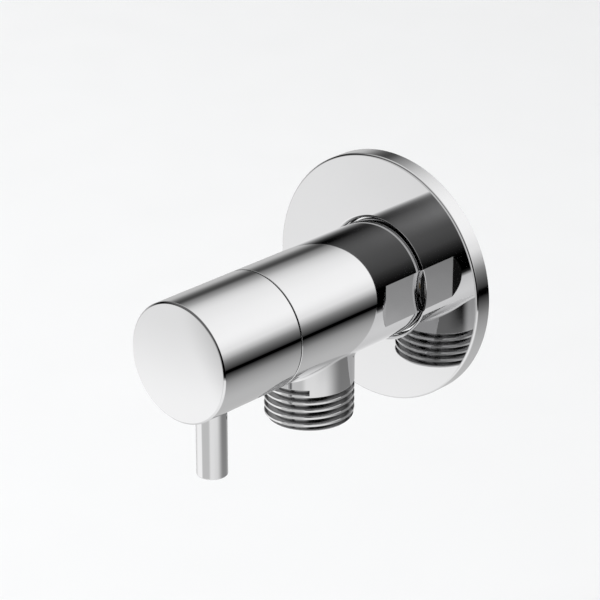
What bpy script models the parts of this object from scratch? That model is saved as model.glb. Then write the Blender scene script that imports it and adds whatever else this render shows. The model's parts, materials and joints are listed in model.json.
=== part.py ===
"""Angle stop valve: chrome quarter-turn valve with a wall plate, pin lever and threaded outlet.

Frame: metres, +Z up. The origin is on the valve's axis in the wall plane, +Y runs into the
wall, the knob faces -Y and the outlet points down -Z.
"""

import math

import bmesh
import bpy
from mathutils import Matrix, Vector

# ---------------------------------------------------------------- driving dimensions
CLEARANCE = 0.0003          # gap left between neighbouring pieces

BODY_RADIUS = 0.014         # the barrel and the knob share one outside diameter
BODY_REAR = -0.0012         # barrel's shoulder, just in front of the wall
SEAM = -0.0463              # middle of the joint between barrel and knob
FLAT_OFFSET = 0.01305       # half the width across the spanner flats
FLAT_FRONT = -0.0166        # where the flats end and their ramps begin
FLAT_RAMP_SLOPE = 2.32      # ramp length for each unit of rise

PLATE_RADIUS = 0.0299
PLATE_DEPTH = 0.0044
PLATE_SKIN = 0.0014         # thickness of the plate's face
PLATE_RIM = 0.0015          # thickness of the plate's rim
PLATE_EDGE = 0.00056        # rounding of the plate's front edge
PLATE_HOLE = 0.01445
PLATE_LIP = 0.0008          # rounding of the hole's front edge
PLATE_HUB = 0.0176

THREAD_MAJOR = 0.01045      # parallel pipe thread, half inch
THREAD_DEPTH = 0.00116
THREAD_PITCH = 0.001814
THREAD_CREST = 0.30         # share of the pitch that the crest takes
THREAD_ROOT = 0.14          # share of the pitch that the root takes
THREAD_START = -48.0        # degrees round the rod, where the groove's square end stands

OUTLET_Y = -0.02813
OUTLET_NECK = THREAD_MAJOR
OUTLET_END = -0.0267
OUTLET_THREAD_TOP = -0.0163
OUTLET_BORE = 0.0065
OUTLET_FILLET = 0.0013

INLET_END = 0.016
INLET_BORE = 0.0055
STRAINER_STEP = 0.009       # where the inlet widens for the strainer
STRAINER_BORE = 0.007

CHAMBER_RADIUS = 0.010
CHAMBER_SEAT = -0.021       # wall that the disc seal presses on
CHAMBER_FRONT = -0.038      # where the headwork's thread begins
HEADWORK_BORE = 0.0105
HEADWORK_RECESS = 0.012
HEADWORK_RECESS_DEPTH = 0.0018

KNOB_EDGE_Y = -0.0707       # knob's cylinder ends here and its chamfer begins
KNOB_CHAMFER = 0.0004
KNOB_DOME = 0.0005          # rise of the knob's face at its centre
KNOB_SKIRT = 0.0122
KNOB_WEB = -0.0567
KNOB_HUB = 0.0073
KNOB_HUB_END = -0.0676
SEAM_CHAMFER = 0.0002

LEVER_Y = -0.06076
LEVER_RADIUS = 0.00355
LEVER_END = -0.0302
LEVER_SHOULDER = -0.0131
LEVER_STUD = 0.0025
LEVER_STUD_TOP = -0.0102
LEVER_EDGE = 0.0003

HOUSING_RADIUS = 0.0089
HOUSING_BORE = 0.0079
HOUSING_THREAD = 0.0102
HOUSING_FLANGE = 0.0117
HOUSING_COLLAR = 0.0106
HOUSING_HEX = 0.0085        # half the width across the hexagon
HOUSING_NOSE = 0.0070
HOUSING_STEP = -0.0350

SPINDLE_RADIUS = 0.0040
SPINDLE_BORE = SPINDLE_RADIUS + CLEARANCE
SPINDLE_GROOVE = 0.0029
SPINDLE_SPLINE = 0.0039
SPINDLE_FRONT = -0.0630
SPINDLE_SCREW_HOLE = 0.00165

DISC_RADIUS = 0.0076
DISC_HUB = 0.0024
DISC_PORT = 0.0062
DISC_LUG = 0.0086
OPENING_ANGLE = 225.0       # degrees, middle of one disc opening when the valve is open
PORT_HALF_ANGLE = 38.0
NOTCH_HALF_ANGLE = 42.0
LUG_HALF_WIDTH = 0.0020     # stop lug on the spindle
QUARTER_TURN = 90.0

ROUND_SEGMENTS = 48
SMALL_SEGMENTS = 32
THREAD_SEGMENTS = 32
SPLINE_SEGMENTS = 40
ARC_STEP = 12.0             # degrees between points on a drawn arc
CUT_MARGIN = 0.001          # how far a tool runs past the faces it cuts

COLOURS = {
    "chrome": ((0.82, 0.83, 0.84), 0.06, 1.0),
    "brass": ((0.72, 0.55, 0.28), 0.28, 1.0),
    "stainless": ((0.62, 0.62, 0.61), 0.25, 1.0),
    "rubber": ((0.015, 0.015, 0.016), 0.65, 0.0),
    "ceramic": ((0.90, 0.89, 0.86), 0.20, 0.0),
    "white_plastic": ((0.86, 0.86, 0.84), 0.45, 0.0),
}


# ---------------------------------------------------------------- helpers
def clear_scene():
    for old in list(bpy.data.objects):
        bpy.data.objects.remove(old, do_unlink=True)


def material(name):
    made = bpy.data.materials.get(name)
    if made:
        return made
    colour, roughness, metallic = COLOURS[name]
    made = bpy.data.materials.new(name)
    made.use_nodes = True
    shader = made.node_tree.nodes["Principled BSDF"]
    shader.inputs["Base Color"].default_value = (*colour, 1.0)
    shader.inputs["Roughness"].default_value = roughness
    shader.inputs["Metallic"].default_value = metallic
    return made


def add_empty(name, location):
    empty = bpy.data.objects.new(name, None)
    empty.location = location
    bpy.context.scene.collection.objects.link(empty)
    return empty


def add_object(name, bm, finish, location=(0, 0, 0), parent=None):
    """Turn a bmesh into a named object with smooth round faces."""
    mesh = bpy.data.meshes.new(name)
    bm.to_mesh(mesh)
    bm.free()
    mesh.shade_smooth()
    mesh.set_sharp_from_angle(angle=math.radians(30))
    mesh.materials.append(material(finish))
    made = bpy.data.objects.new(name, mesh)
    bpy.context.scene.collection.objects.link(made)
    if parent:
        made.parent = parent
        made.location = Vector(location) - parent.location
    else:
        made.location = location
    return made


def add_tool(name, bm, location=(0, 0, 0)):
    """A helper body that only cuts or joins another one."""
    tool = add_object(name, bm, "brass", location)
    tool.hide_render = True
    tool.display_type = "WIRE"
    return tool


def combine(target, tool, operation="DIFFERENCE"):
    step = target.modifiers.new(tool.name, "BOOLEAN")
    step.operation = operation
    step.solver = "EXACT"
    step.object = tool


def close_up(bm):
    bmesh.ops.remove_doubles(bm, verts=bm.verts, dist=1e-7)
    bmesh.ops.recalc_face_normals(bm, faces=bm.faces)
    return bm


def turned(profile, axis="Y", segments=ROUND_SEGMENTS):
    """Spin a closed outline of (radius, height) points about an axis."""
    bm = bmesh.new()
    if axis == "Y":
        points = [Vector((radius, height, 0)) for radius, height in profile]
        direction = Vector((0, 1, 0))
    else:
        points = [Vector((radius, 0, height)) for radius, height in profile]
        direction = Vector((0, 0, 1))
    verts = [bm.verts.new(point) for point in points]
    edges = []
    for first, second in zip(verts, verts[1:] + verts[:1]):
        on_axis = first.co.cross(direction).length < 1e-9 and second.co.cross(direction).length < 1e-9
        if not on_axis:
            edges.append(bm.edges.new((first, second)))
    bmesh.ops.spin(bm, geom=verts + edges, cent=(0, 0, 0), axis=direction,
                   angle=math.tau, steps=segments, use_merge=True)
    return close_up(bm)


def tube(inner, outer, rear, front, segments=SMALL_SEGMENTS):
    """A plain ring round the valve's axis, from its rear station to its front one."""
    return turned([(inner, rear), (outer, rear), (outer, front), (inner, front)], "Y", segments)


def o_ring(centre_radius, cord_radius, segments=SMALL_SEGMENTS, sides=8):
    outline = []
    for index in range(sides):
        angle = math.tau * (index + 0.5) / sides
        outline.append((centre_radius + cord_radius * math.cos(angle), cord_radius * math.sin(angle)))
    return turned(outline, "Y", segments)


def quarter_arc(centre, radius, start, end, steps=4):
    """Points on an arc in (radius, height) space, angles in degrees."""
    points = []
    for index in range(steps + 1):
        angle = math.radians(start + (end - start) * index / steps)
        points.append((centre[0] + radius * math.cos(angle), centre[1] + radius * math.sin(angle)))
    return points


def arc_outline(arcs):
    """An outline in the XZ plane from (radius, start angle, end angle) arcs, in order."""
    points = []
    for radius, start, end in arcs:
        steps = max(1, round(abs(end - start) / ARC_STEP))
        for index in range(steps + 1):
            angle = math.radians(start + (end - start) * index / steps)
            points.append((radius * math.cos(angle), radius * math.sin(angle)))
    return points


def polygon(radius, sides, turn=0.0):
    angles = [math.tau * (index + turn) / sides for index in range(sides)]
    return [(radius * math.cos(angle), radius * math.sin(angle)) for angle in angles]


def prism(outline, rear, front):
    """Extrude an XZ outline along the valve's axis."""
    bm = bmesh.new()
    face = bm.faces.new([bm.verts.new((x, rear, z)) for x, z in outline])
    made = bmesh.ops.extrude_face_region(bm, geom=[face])
    moved = [item for item in made["geom"] if isinstance(item, bmesh.types.BMVert)]
    bmesh.ops.translate(bm, verts=moved, vec=(0, front - rear, 0))
    return close_up(bm)


def block(low, high, turn=0.0):
    """A box between two corners, turned about the valve's axis by an angle in degrees."""
    bm = bmesh.new()
    bmesh.ops.create_cube(bm, size=1.0)
    size = [high[i] - low[i] for i in range(3)]
    middle = [(high[i] + low[i]) / 2 for i in range(3)]
    bmesh.ops.scale(bm, verts=bm.verts, vec=size)
    bmesh.ops.translate(bm, verts=bm.verts, vec=middle)
    bmesh.ops.rotate(bm, verts=bm.verts, cent=(0, 0, 0), matrix=Matrix.Rotation(math.radians(turn), 3, "Y"))
    return bm


def threaded_rod(plain_radius, top, thread_top, end):
    """A rod down -Z: plain at its top, then a right-hand helical groove to a chamfered end."""
    root = THREAD_MAJOR - THREAD_DEPTH
    flank = (1 - THREAD_CREST - THREAD_ROOT) / 2
    shares = (0.0, flank, flank + THREAD_ROOT, 1 - THREAD_CREST)
    radii = (THREAD_MAJOR, root, root, THREAD_MAJOR)
    rows_per_turn = len(shares)
    turns = math.ceil((thread_top - end) / THREAD_PITCH) + 2
    end_radius = root + THREAD_DEPTH * 0.3

    def on_circle(column, radius, height):
        angle = math.radians(THREAD_START) - math.tau * column / THREAD_SEGMENTS
        return Vector((radius * math.cos(angle), radius * math.sin(angle), height))

    def point(column, row):
        turn, part = divmod(row, rows_per_turn)
        drop = THREAD_PITCH * (turn + shares[part] + column / THREAD_SEGMENTS)
        height = thread_top - drop
        radius = min(radii[part], end_radius + max(0.0, height - end))
        return on_circle(column, radius, height)

    bm = bmesh.new()
    rows = turns * rows_per_turn
    grid = [[bm.verts.new(point(column, row)) for row in range(rows + 1)]
            for column in range(THREAD_SEGMENTS)]
    # one turn further down, the last column meets the first one again
    for column in range(THREAD_SEGMENTS):
        last = column == THREAD_SEGMENTS - 1
        for row in range(rows - rows_per_turn):
            shift = rows_per_turn if last else 0
            right = grid[0] if last else grid[column + 1]
            bm.faces.new((grid[column][row], grid[column][row + 1],
                          right[row + 1 + shift], right[row + shift]))
    ring = [bm.verts.new(on_circle(column, plain_radius, top)) for column in range(THREAD_SEGMENTS)]
    for column in range(THREAD_SEGMENTS - 1):
        bm.faces.new((ring[column], grid[column][0], grid[column + 1][0], ring[column + 1]))
    # the groove starts at a square end wall in the first column
    wall_top = []
    for row in range(1, rows_per_turn):
        wall_top.append(bm.verts.new(on_circle(0, THREAD_MAJOR, grid[0][row].co.z)))
    first, after = grid[0][0], grid[0][rows_per_turn]
    bm.faces.new([first, *wall_top, after, *reversed(grid[0][1:rows_per_turn])])
    bm.faces.new([ring[-1], grid[-1][0], after, *reversed(wall_top), first, ring[0]])
    bm.faces.new(ring)
    cut = bmesh.ops.bisect_plane(bm, geom=bm.verts[:] + bm.edges[:] + bm.faces[:], dist=1e-8,
                                 plane_co=(0, 0, end), plane_no=(0, 0, -1), clear_outer=True)
    rim = [item for item in cut["geom_cut"] if isinstance(item, bmesh.types.BMEdge)]
    bmesh.ops.edgeloop_fill(bm, edges=rim)
    return close_up(bm)


# ---------------------------------------------------------------- wall plate
def make_wall_plate(slide):
    front = -PLATE_DEPTH
    edge_centre = (PLATE_RADIUS - PLATE_EDGE, front + PLATE_EDGE)
    lip_centre = (PLATE_HOLE + PLATE_LIP, front + PLATE_LIP)
    groove = 0.0159
    groove_front, groove_rear = -0.00245, -0.00105
    hub_rear = -0.0006
    profile = [(PLATE_RADIUS, 0.0)]
    profile += quarter_arc(edge_centre, PLATE_EDGE, 0, -90)
    profile += quarter_arc(lip_centre, PLATE_LIP, 270, 180)
    profile += [
        (PLATE_HOLE, groove_front),
        (groove, groove_front),
        (groove, groove_rear),
        (PLATE_HOLE, groove_rear),
        (PLATE_HOLE, hub_rear),
        (PLATE_HUB, hub_rear),
        (PLATE_HUB, front + PLATE_SKIN),
        (PLATE_RADIUS - PLATE_RIM, front + PLATE_SKIN),
        (PLATE_RADIUS - PLATE_RIM, 0.0),
    ]
    add_object("wall_flange", turned(profile), "chrome", parent=slide)
    groove_middle = (groove_front + groove_rear) / 2
    add_object("flange_o_ring", o_ring(0.01495, 0.00065), "rubber", (0, groove_middle, 0), slide)


# ---------------------------------------------------------------- valve body
def barrel_outline():
    front = SEAM + CLEARANCE / 2
    rear_chamfer = 0.0004
    return [
        (0, BODY_REAR),
        (BODY_RADIUS - rear_chamfer, BODY_REAR),
        (BODY_RADIUS, BODY_REAR - rear_chamfer),
        (BODY_RADIUS, front + SEAM_CHAMFER),
        (BODY_RADIUS - SEAM_CHAMFER, front),
        (0, front),
    ]


def waterway_outline():
    """The turned hollow: inlet, strainer seat, chamber and headwork socket."""
    front = SEAM - CUT_MARGIN
    recess = SEAM + CLEARANCE / 2 + HEADWORK_RECESS_DEPTH
    rear = INLET_END + CUT_MARGIN
    return [
        (0, rear),
        (STRAINER_BORE, rear),
        (STRAINER_BORE, STRAINER_STEP),
        (INLET_BORE, STRAINER_STEP),
        (INLET_BORE, CHAMBER_SEAT),
        (CHAMBER_RADIUS, CHAMBER_SEAT),
        (CHAMBER_RADIUS, CHAMBER_FRONT),
        (HEADWORK_BORE, CHAMBER_FRONT),
        (HEADWORK_BORE, recess),
        (HEADWORK_RECESS, recess),
        (HEADWORK_RECESS, front),
        (0, front),
    ]


def fillet_collar():
    """The concave blend where the outlet's neck leaves the round barrel, as a closed ring."""
    bm = bmesh.new()
    arc_steps = 4
    overrun = 0.06          # share of the arc by which it runs on into the neck and the barrel
    inward = 0.0012
    neck_ring = OUTLET_NECK + OUTLET_FILLET
    columns = []
    for column in range(THREAD_SEGMENTS):
        angle = math.tau * column / THREAD_SEGMENTS
        out = Vector((math.cos(angle), math.sin(angle), 0))
        centre = out * neck_ring
        centre.z = -math.sqrt((BODY_RADIUS + OUTLET_FILLET) ** 2 - centre.x ** 2)
        on_neck = out * OUTLET_NECK
        on_neck.z = centre.z
        across = Vector((centre.x, 0, centre.z)).normalized()
        on_barrel = centre - across * OUTLET_FILLET
        sweep = out.angle(across)
        sideways = (across - out * across.dot(out)).normalized()
        points = []
        for step in range(arc_steps + 1):
            turn = sweep * (step / arc_steps * (1 + 2 * overrun) - overrun)
            points.append(centre - (out * math.cos(turn) + sideways * math.sin(turn)) * OUTLET_FILLET)
        points.append(on_barrel - across * inward)
        points.append(on_neck - out * inward + Vector((0, 0, inward * 2)))
        points.append(on_neck - out * inward)
        columns.append([bm.verts.new(point) for point in points])
    for here, there in zip(columns, columns[1:] + columns[:1]):
        for index in range(len(here)):
            after = (index + 1) % len(here)
            bm.faces.new((here[index], here[after], there[after], there[index]))
    return close_up(bm)


def flat_tool(side):
    """Cuts one spanner flat, which runs out to the round surface in a ramp."""
    bm = bmesh.new()
    outer = BODY_RADIUS + CUT_MARGIN
    rear = BODY_REAR + CUT_MARGIN
    ramp_end = FLAT_FRONT - (outer - FLAT_OFFSET) * FLAT_RAMP_SLOPE
    outline = [(FLAT_OFFSET, FLAT_FRONT), (FLAT_OFFSET, rear), (outer, rear), (outer, ramp_end)]
    half_height = BODY_RADIUS / 2
    face = bm.faces.new([bm.verts.new((side * x, y, -half_height)) for x, y in outline])
    made = bmesh.ops.extrude_face_region(bm, geom=[face])
    moved = [item for item in made["geom"] if isinstance(item, bmesh.types.BMVert)]
    bmesh.ops.translate(bm, verts=moved, vec=(0, 0, 2 * half_height))
    return close_up(bm)


def make_body():
    body = add_object("valve_body", turned(barrel_outline()), "chrome")
    neck_top = -BODY_RADIUS / 2
    branch = threaded_rod(OUTLET_NECK, neck_top, OUTLET_THREAD_TOP, OUTLET_END)
    outlet = add_tool("outlet_branch_form", branch, (0, OUTLET_Y, 0))
    collar = add_tool("outlet_fillet_form", fillet_collar(), (0, OUTLET_Y, 0))
    shank_root = THREAD_MAJOR - THREAD_DEPTH
    shank = add_tool("inlet_shank_form", threaded_rod(shank_root, -BODY_REAR + 0.003,
                                                      -BODY_REAR - 0.0008, -INLET_END))
    shank.rotation_euler = (math.radians(90), 0, 0)
    waterway = add_tool("waterway_tool", turned(waterway_outline()))
    outlet_bore = add_tool("outlet_bore_tool", turned([
        (0, neck_top + CUT_MARGIN),
        (OUTLET_BORE, neck_top + CUT_MARGIN),
        (OUTLET_BORE, OUTLET_END - CUT_MARGIN),
        (0, OUTLET_END - CUT_MARGIN),
    ], "Z", SMALL_SEGMENTS), (0, OUTLET_Y, 0))
    combine(body, outlet, "UNION")
    combine(body, collar, "UNION")
    combine(body, shank, "UNION")
    combine(body, waterway)
    combine(body, outlet_bore)
    for side, word in ((1, "right"), (-1, "left")):
        combine(body, add_tool(f"{word}_flat_tool", flat_tool(side)))


def make_strainer():
    rear = 0.0020
    skin = 0.0008
    rim = 0.0008
    radius = STRAINER_BORE - CLEARANCE
    cup = [(0, 0), (radius, 0), (radius, rear), (radius - rim, rear), (radius - rim, skin), (0, skin)]
    station = STRAINER_STEP + CLEARANCE
    strainer = add_object("inlet_strainer", turned(cup, "Y", SMALL_SEGMENTS), "stainless", (0, station, 0))
    holes = bmesh.new()
    pitch = 0.0021
    for count, ring_radius in ((1, 0.0), (6, pitch), (12, 2 * pitch)):
        for index in range(count):
            angle = math.tau * index / count
            place = Matrix.Translation((ring_radius * math.cos(angle), 0, ring_radius * math.sin(angle)))
            upright = Matrix.Rotation(math.radians(90), 4, "X")
            bmesh.ops.create_cone(holes, cap_ends=True, segments=6, radius1=0.0007, radius2=0.0007,
                                  depth=4 * skin, matrix=place @ upright)
    combine(strainer, add_tool("strainer_holes_tool", holes, (0, station, 0)))


# ---------------------------------------------------------------- headwork, fixed pieces
def opening_sector(half_angle, inner, outer, middle):
    return arc_outline([(outer, middle - half_angle, middle + half_angle),
                        (inner, middle + half_angle, middle - half_angle)])


def make_housing():
    rear = CHAMBER_SEAT - 0.0009
    thread_rear = CHAMBER_FRONT - CLEARANCE
    flange_rear = SEAM + CLEARANCE / 2 + HEADWORK_RECESS_DEPTH - CLEARANCE
    flange_front = -0.0478
    collar_front = -0.0509
    nose_front = -0.0540
    profile = [
        (HOUSING_BORE, rear),
        (HOUSING_RADIUS, rear),
        (HOUSING_RADIUS, thread_rear),
        (HOUSING_THREAD, thread_rear),
        (HOUSING_THREAD, -0.0420),
        (HOUSING_RADIUS, -0.0420),
        (HOUSING_RADIUS, -0.0440),
        (HOUSING_THREAD, -0.0440),
        (HOUSING_THREAD, flange_rear),
        (HOUSING_FLANGE, flange_rear),
        (HOUSING_FLANGE, flange_front),
        (HOUSING_COLLAR, flange_front),
        (HOUSING_COLLAR, collar_front),
        (HOUSING_NOSE, collar_front),
        (HOUSING_NOSE, nose_front),
        (SPINDLE_BORE, nose_front),
        (SPINDLE_BORE, HOUSING_STEP),
        (HOUSING_BORE, HOUSING_STEP),
    ]
    housing = add_object("headwork_housing", turned(profile, "Y", SMALL_SEGMENTS), "brass")
    corner = HOUSING_HEX / math.cos(math.radians(30))
    hexagon = prism(polygon(corner, 6), collar_front + CLEARANCE, nose_front + CLEARANCE)
    hex_form = add_tool("housing_hexagon_form", hexagon)
    hollow = add_tool("housing_bore_tool", turned([
        (0, HOUSING_STEP - CLEARANCE),
        (SPINDLE_BORE, HOUSING_STEP - CLEARANCE),
        (SPINDLE_BORE, nose_front - CUT_MARGIN),
        (0, nose_front - CUT_MARGIN),
    ], "Y", SMALL_SEGMENTS))
    combine(housing, hex_form, "UNION")
    combine(housing, hollow)
    lug_half_angle = math.degrees(math.asin(LUG_HALF_WIDTH / HOUSING_BORE))
    window_half_angle = QUARTER_TURN / 2 + lug_half_angle + 1.0
    for number in (0, 1):
        middle = OPENING_ANGLE + 180 * number
        window = prism(opening_sector(window_half_angle, 0.0074, 0.0094, middle), -0.0273, -0.0338)
        combine(housing, add_tool(f"housing_window_tool_{number}", window))
        notch = block((0.0070, -0.0270, -0.0018), (0.0094, rear + CUT_MARGIN, 0.0018),
                      -(OPENING_ANGLE + 90 + 180 * number))
        combine(housing, add_tool(f"housing_notch_tool_{number}", notch))
    add_object("housing_o_ring", o_ring(0.0097, 0.00055), "rubber", (0, -0.0430, 0))


def make_fixed_disc():
    lug_half_angle = 10.0
    outline = []
    for number in (0, 1):
        post = OPENING_ANGLE + 90 + 180 * number
        outline += arc_outline([(DISC_LUG, post - lug_half_angle, post + lug_half_angle),
                                (DISC_RADIUS, post + lug_half_angle, post + 180 - lug_half_angle)])
    disc = add_object("fixed_ceramic_disc", prism(outline, -0.0242, -0.0269), "ceramic")
    for number in (0, 1):
        port = prism(opening_sector(PORT_HALF_ANGLE, DISC_HUB, DISC_PORT, OPENING_ANGLE + 180 * number),
                     -0.0242 + CUT_MARGIN, -0.0269 - CUT_MARGIN)
        combine(disc, add_tool(f"fixed_disc_port_tool_{number}", port))


def make_seals():
    add_object("disc_seal", tube(0.0053, DISC_RADIUS, CHAMBER_SEAT - CLEARANCE, -0.0239), "rubber")
    add_object("slip_washer", tube(SPINDLE_BORE, DISC_RADIUS, -0.0347, -0.0338), "white_plastic")
    add_object("glide_ring", tube(0.0109, 0.0119, -0.0481, -0.0506), "white_plastic")


# ---------------------------------------------------------------- headwork, turning pieces
def make_spindle(handle):
    driver_rear, driver_front = -0.0302, -0.0335
    spline_rear = -0.0570
    hole_end = -0.0560
    profile = [(0, driver_rear), (DISC_RADIUS, driver_rear), (DISC_RADIUS, driver_front),
               (SPINDLE_RADIUS, driver_front)]
    for rear, front, depth in ((-0.0382, -0.0398, SPINDLE_GROOVE), (-0.0422, -0.0438, SPINDLE_GROOVE),
                               (-0.0542, -0.0556, 0.0032)):
        profile += [(SPINDLE_RADIUS, rear), (depth, rear), (depth, front), (SPINDLE_RADIUS, front)]
    profile += [(SPINDLE_RADIUS, spline_rear), (SPINDLE_SPLINE, spline_rear),
                (SPINDLE_SPLINE, SPINDLE_FRONT), (SPINDLE_SCREW_HOLE, SPINDLE_FRONT),
                (SPINDLE_SCREW_HOLE, hole_end), (0, hole_end)]
    bm = turned(profile, "Y", SPLINE_SEGMENTS)
    cut_spline(bm, spline_rear)
    spindle = add_object("spindle", bm, "brass", parent=handle)
    tang = block((-0.0055, driver_rear - CUT_MARGIN, -0.0012), (0.0055, -0.0290, 0.0012),
                 -(OPENING_ANGLE + 90))
    combine(spindle, add_tool("spindle_tang_form", tang), "UNION")
    lug = block((-LUG_HALF_WIDTH, -0.0331, -0.0087), (LUG_HALF_WIDTH, -0.0306, -0.0060))
    combine(spindle, add_tool("spindle_stop_lug_form", lug), "UNION")
    for name, station in (("spindle_o_ring_inner", -0.0390), ("spindle_o_ring_outer", -0.0430)):
        add_object(name, o_ring(0.0036, 0.0005, 24, 6), "rubber", (0, station, 0), handle)
    clip = arc_outline([(0.0058, 30, 330), (0.0035, 330, 30)])
    add_object("retaining_clip", prism(clip, -0.05445, -0.05535), "stainless", parent=handle)


def cut_spline(bm, spline_rear):
    """Draw every other point of the spline inwards, which makes its teeth."""
    depth = 0.0004
    for vert in bm.verts:
        flat = Vector((vert.co.x, 0, vert.co.z))
        on_spline = vert.co.y < spline_rear + CLEARANCE and abs(flat.length - SPINDLE_SPLINE) < 1e-5
        index = round(math.atan2(flat.z, flat.x) / math.tau * SPLINE_SEGMENTS)
        if on_spline and index % 2:
            vert.co -= flat.normalized() * depth


def make_rotating_disc(handle):
    rear, front = -0.0272, -0.0299
    outline = []
    for number in (0, 1):
        middle = OPENING_ANGLE + 180 * number
        outline += arc_outline([(DISC_HUB, middle - NOTCH_HALF_ANGLE, middle + NOTCH_HALF_ANGLE),
                                (DISC_RADIUS, middle + NOTCH_HALF_ANGLE, middle + 180 - NOTCH_HALF_ANGLE)])
    disc = add_object("rotating_ceramic_disc", prism(outline, rear, front), "ceramic", parent=handle)
    slot = block((-0.0062, front - CUT_MARGIN, -0.0015), (0.0062, -0.0286, 0.0015), -(OPENING_ANGLE + 90))
    combine(disc, add_tool("rotating_disc_slot_tool", slot))


# ---------------------------------------------------------------- handle
def make_knob(handle):
    rear = SEAM - CLEARANCE / 2
    face_radius = BODY_RADIUS - KNOB_CHAMFER
    face_rim = KNOB_EDGE_Y - KNOB_CHAMFER
    dome_steps = 3
    profile = [(0, face_rim - KNOB_DOME)]
    for index in range(1, dome_steps):
        share = index / dome_steps
        profile.append((face_radius * share, face_rim - KNOB_DOME * (1 - share ** 2)))
    profile += [
        (face_radius, face_rim),
        (BODY_RADIUS, KNOB_EDGE_Y),
        (BODY_RADIUS, rear - SEAM_CHAMFER),
        (BODY_RADIUS - SEAM_CHAMFER, rear),
        (KNOB_SKIRT, rear),
        (KNOB_SKIRT, KNOB_WEB),
        (KNOB_HUB, KNOB_WEB),
        (KNOB_HUB, KNOB_HUB_END),
        (0, KNOB_HUB_END),
    ]
    knob = add_object("handle_knob", turned(profile), "chrome", parent=handle)
    seat = LEVER_RADIUS + CLEARANCE
    seat_floor = LEVER_SHOULDER + CLEARANCE
    hole = LEVER_STUD + CLEARANCE
    socket = turned([
        (0, -BODY_RADIUS - CUT_MARGIN),
        (seat, -BODY_RADIUS - CUT_MARGIN),
        (seat, seat_floor),
        (hole, seat_floor),
        (hole, -KNOB_HUB + CUT_MARGIN),
        (0, -KNOB_HUB + CUT_MARGIN),
    ], "Z", SMALL_SEGMENTS)
    combine(knob, add_tool("lever_socket_tool", socket, (0, LEVER_Y, 0)))


def make_lever(handle):
    edge_centre = (LEVER_RADIUS - LEVER_EDGE, LEVER_END + LEVER_EDGE)
    profile = [(0, LEVER_STUD_TOP), (LEVER_STUD, LEVER_STUD_TOP), (LEVER_STUD, LEVER_SHOULDER),
               (LEVER_RADIUS, LEVER_SHOULDER)]
    profile += quarter_arc(edge_centre, LEVER_EDGE, 0, -90, 3)
    profile.append((0, LEVER_END))
    add_object("lever_pin", turned(profile, "Z", SMALL_SEGMENTS), "chrome", (0, LEVER_Y, 0), handle)


def hexagon_hole(radius, depth):
    """A hexagonal socket tool standing on -Z, with its top at the origin."""
    bm = bmesh.new()
    bmesh.ops.create_cone(bm, cap_ends=True, segments=6, radius1=radius, radius2=radius, depth=depth * 2)
    return bm


def make_fixings(handle):
    adapter = add_object("spline_adapter", turned([
        (SPINDLE_BORE, -0.0569),
        (0.0070, -0.0569),
        (0.0070, -0.0648),
        (0.0020, -0.0648),
        (0.0020, -0.0633),
        (SPINDLE_BORE, -0.0633),
    ], "Y", SMALL_SEGMENTS), "white_plastic", parent=handle)
    flat = block((-0.008, -0.0660, -0.0080), (0.008, -0.0560, -0.0066))
    combine(adapter, add_tool("adapter_flat_tool", flat))

    grub_length = 0.0030
    grub_top = -0.0069
    grub = add_object("grub_screw", turned([
        (0, 0), (0.0019, 0), (0.00245, -0.0005), (0.00245, -grub_length), (0, -grub_length),
    ], "Z", 24), "stainless", (0, LEVER_Y, grub_top), handle)
    combine(grub, add_tool("grub_socket_tool", hexagon_hole(0.00144, 0.0016),
                           (0, LEVER_Y, grub_top - grub_length)))

    screw = add_object("adapter_screw", turned([
        (0, -0.0575), (0.00135, -0.0575), (0.00135, -0.0651), (0.0032, -0.0651),
        (0.0032, -0.0668), (0.0028, -0.0672), (0, -0.0672),
    ], "Y", 24), "stainless", parent=handle)
    socket = add_tool("adapter_screw_socket_tool", hexagon_hole(0.00144, 0.0012), (0, -0.0672, 0))
    socket.rotation_euler = (math.radians(90), 0, 0)
    combine(screw, socket)


# ---------------------------------------------------------------- assembly
def build():
    clear_scene()
    slide = add_empty("flange_slide_axis", (0, 0, 0))
    handle = add_empty("handle_turn_axis", (0, SEAM, 0))
    make_wall_plate(slide)
    make_body()
    make_strainer()
    make_housing()
    make_fixed_disc()
    make_seals()
    make_spindle(handle)
    make_rotating_disc(handle)
    make_knob(handle)
    make_lever(handle)
    make_fixings(handle)


build()
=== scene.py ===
import json
import math

import bmesh
import bpy
from mathutils import Matrix, Vector


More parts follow.
